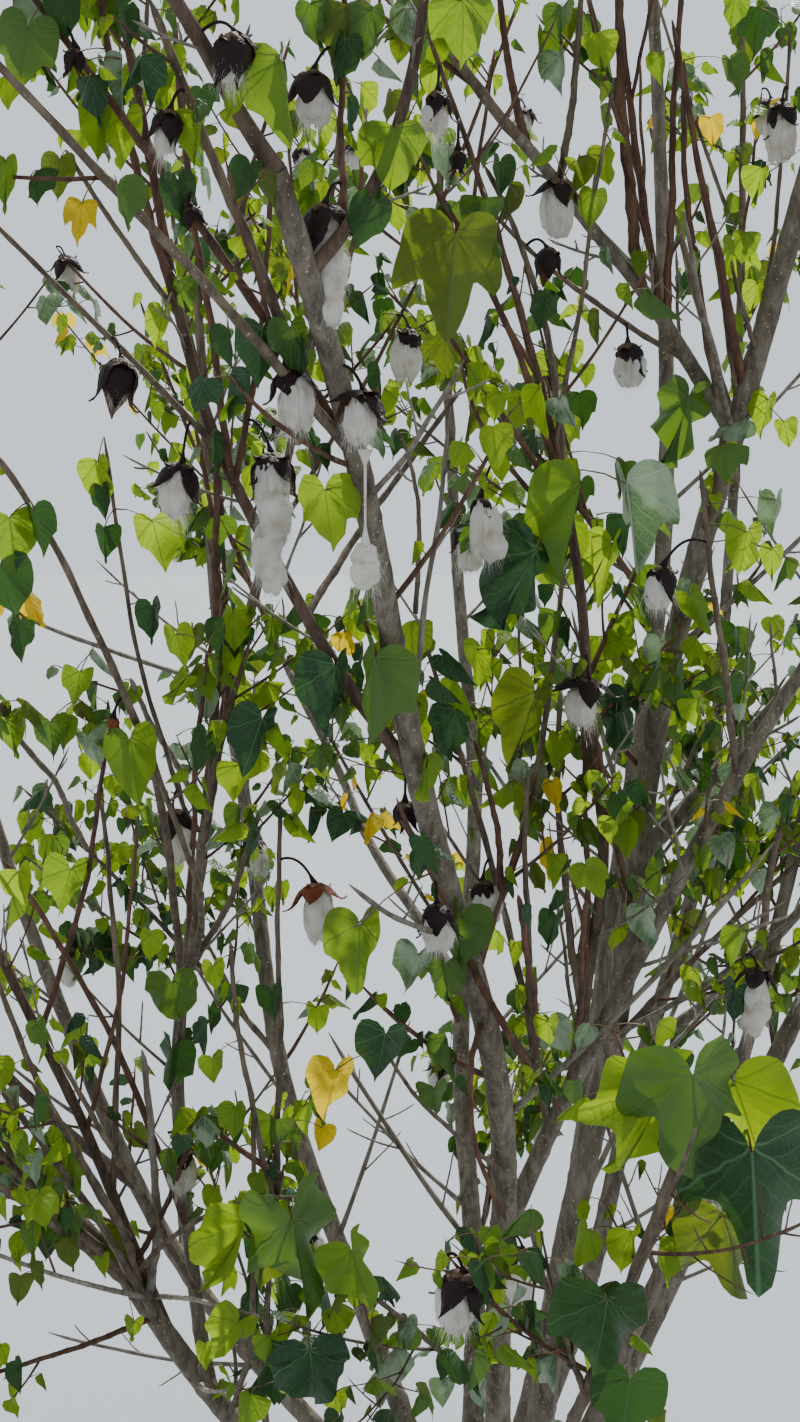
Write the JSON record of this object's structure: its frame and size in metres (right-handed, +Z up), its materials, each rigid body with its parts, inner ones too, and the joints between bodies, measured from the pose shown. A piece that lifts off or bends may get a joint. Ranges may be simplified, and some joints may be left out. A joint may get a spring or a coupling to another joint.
{
  "type": "cotton shrub",
  "caption": "Tall open cotton shrub: a clump of bare stems from one rootstock, forking into boughs with long-stalked lobed leaves and hanging open bolls.",
  "frame": {"origin": "middle of the rootstock's flat cut at ground level, the mount named ground", "axes": "+Z up, +X to the right and +Y away from the viewer as the plant is pictured"},
  "size_m": [2.2526, 2.3421, 2.6375],
  "materials": {
    "old_bark": "rough grey-brown bark with pale specks",
    "young_bark": "smoother red-brown bark",
    "foliage": "half-matt leaf, light from behind shows through",
    "foliage_bright": "half-matt sunlit leaf",
    "foliage_pale": "glossy leaf face that shows the sky",
    "foliage_yellow": "half-matt ageing leaf",
    "leaf_stalk": "smooth reddish stalk",
    "dry_bract": "dry papery bract and capsule",
    "lint": "matt fluffy fibre"
  },
  "bodies": {
    "root": {"arm_bough": "young_bark", "arm_leaves": "foliage", "arm_side_leaves": "foliage", "back_leaves": "foliage", "back_left_leaves": "foliage", "back_left_stem": "old_bark", "back_right_leaves": "foliage", "back_right_stem": "old_bark", "back_stem": "old_bark", "cross_leaves": "foliage", "diagonal": "young_bark", "diagonal_leaves": "foliage", "far_left_leaves": "foliage", "far_left_stem": "old_bark", "fork_leaves": "foliage", "fork_stem": "old_bark", "inner_leaves": "foliage", "left_bough": "young_bark", "left_bough_leaves": "foliage", "left_limb": "young_bark", "left_limb_leaves": "foliage", "left_riser": "young_bark", "left_riser_leaves": "foliage", "left_stem": "old_bark", "low_back_leaves": "foliage", "low_leaves": "foliage", "low_left_leaves": "foliage", "low_outer_leaves": "foliage", "low_right_leaves": "foliage", "low_stem": "old_bark", "mid_back_leaves": "foliage", "mid_left_leaves": "foliage", "mid_right_leaves": "foliage", "middle_leaves": "foliage", "middle_stem": "old_bark", "outer_back": "young_bark", "outer_back_leaves": "foliage", "outer_left": "young_bark", "outer_left_leaves": "foliage", "outer_right": "young_bark", "outer_right_leaves": "foliage", "red_leaves": "foliage", "right_leaves": "foliage", "right_stem": "old_bark", "rootstock": "old_bark", "side_leaves": "foliage", "side_stem": "old_bark", "slant_leaves": "foliage", "slant_stem": "old_bark", "tall_bough": "young_bark", "tall_leaves": "foliage", "top_left": "young_bark", "top_left_leaves": "foliage", "top_right": "young_bark", "top_right_leaves": "foliage", "upper_left_leaves": "foliage", "upper_slant": "young_bark", "upper_slant_leaves": "foliage"}
  },
  "joints": []
}
